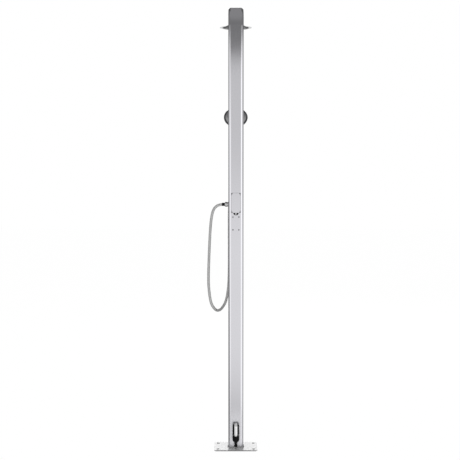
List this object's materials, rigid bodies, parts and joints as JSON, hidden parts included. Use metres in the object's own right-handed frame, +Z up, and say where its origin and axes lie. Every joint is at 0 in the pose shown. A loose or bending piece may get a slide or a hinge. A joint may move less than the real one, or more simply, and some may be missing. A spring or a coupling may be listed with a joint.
{
  "type": "outdoor shower post",
  "caption": "Free-standing garden shower post with a bent arm, tilting rain head, hand shower on a hose, turn valve and a swivel hose inlet.",
  "frame": {"origin": "middle of the four anchor bolt holes, on the underside of the base plate", "axes": "+Z up the post; -Y is the way the arm and the rain head reach, the side the user stands on; +X is the side where the hose leaves the post"},
  "size_m": [0.2534, 0.403, 2.226],
  "materials": {
    "satin_steel": "satin, fine grain",
    "fastener_steel": "bright",
    "chrome": "polished",
    "brass": "machined",
    "pipe_steel": "drawn tube",
    "black_plastic": "fine matt",
    "bearing_plastic": "smooth",
    "ceramic": "lapped",
    "handset_grey": "gloss",
    "nozzle_rubber": "soft",
    "seal_rubber": "matt",
    "hose": "smooth"
  },
  "bodies": {
    "post": {"access_panel": "satin_steel", "arm_end_cap": "satin_steel", "base_plate": "satin_steel", "body_nut": "brass", "bracket_screws": "fastener_steel", "cartridge_nut": "brass", "cartridge_sleeve": "bearing_plastic", "fixed_disc": "ceramic", "foot_weld": "satin_steel", "front_rosette": "chrome", "head_nipple": "chrome", "head_socket": "brass", "holder_base": "satin_steel", "holder_grub_screw": "fastener_steel", "holder_ring": "chrome", "holder_screws": "fastener_steel", "hose_nut": "chrome", "inlet_gasket": "seal_rubber", "inlet_locknut": "brass", "inlet_spigot": "brass", "inner_elbow": "brass", "lower_sleeve": "black_plastic", "outlet_gasket": "seal_rubber", "outlet_nipple": "chrome", "panel_gasket": "seal_rubber", "panel_screws": "fastener_steel", "pipe_nuts": "brass", "post_tube": "satin_steel", "riser_pipe": "pipe_steel", "shower_hose": "hose", "supply_pipe": "pipe_steel", "swivel_seal": "seal_rubber", "valve_body": "brass", "valve_bracket": "fastener_steel"},
    "inlet_swivel": {"inlet_elbow": "chrome", "elbow_grub_screw": "fastener_steel", "drain_screw": "fastener_steel", "tap_adaptor": "black_plastic", "adaptor_washer": "seal_rubber"},
    "control": {"turning_disc": "ceramic", "valve_spindle": "brass", "control_knob": "chrome", "knob_screw": "fastener_steel", "knob_cap": "black_plastic"},
    "ball_seat": {"ball_cup": "bearing_plastic"},
    "rain_head": {"head_shell": "chrome", "head_hub": "brass", "ball_retainer": "black_plastic", "spray_plate": "black_plastic", "spray_nozzles": "nozzle_rubber", "spray_screws": "fastener_steel", "head_seal": "seal_rubber"},
    "hand_shower": {"handset_body": "handset_grey", "handset_face": "handset_grey", "handset_nozzles": "nozzle_rubber", "hose_cone": "chrome", "upper_sleeve": "black_plastic"}
  },
  "joints": [
    {"name": "inlet_turn", "type": "hinge", "parent": "post", "child": "inlet_swivel", "pos_m": [0, 0.0468, 0.1205], "axis": [0, 1, 0], "continuous": true},
    {"name": "valve_turn", "type": "hinge", "parent": "post", "child": "control", "pos_m": [0, -0.05, 1.243], "axis": [0, 1, 0], "range_deg": [-45, 45]},
    {"name": "head_tilt", "type": "hinge", "parent": "post", "child": "ball_seat", "pos_m": [0, -0.245, 2.156], "axis": [1, 0, 0], "range_deg": [-8, 8]},
    {"name": "head_lean", "type": "hinge", "parent": "ball_seat", "child": "rain_head", "pos_m": [0, -0.245, 2.156], "axis": [0, 1, 0], "range_deg": [-8, 8]},
    {"name": "lift_off", "type": "slide", "parent": "post", "child": "hand_shower", "axis": [0, -0.342, 0.9397], "range_m": [0, 0.06]}
  ]
}
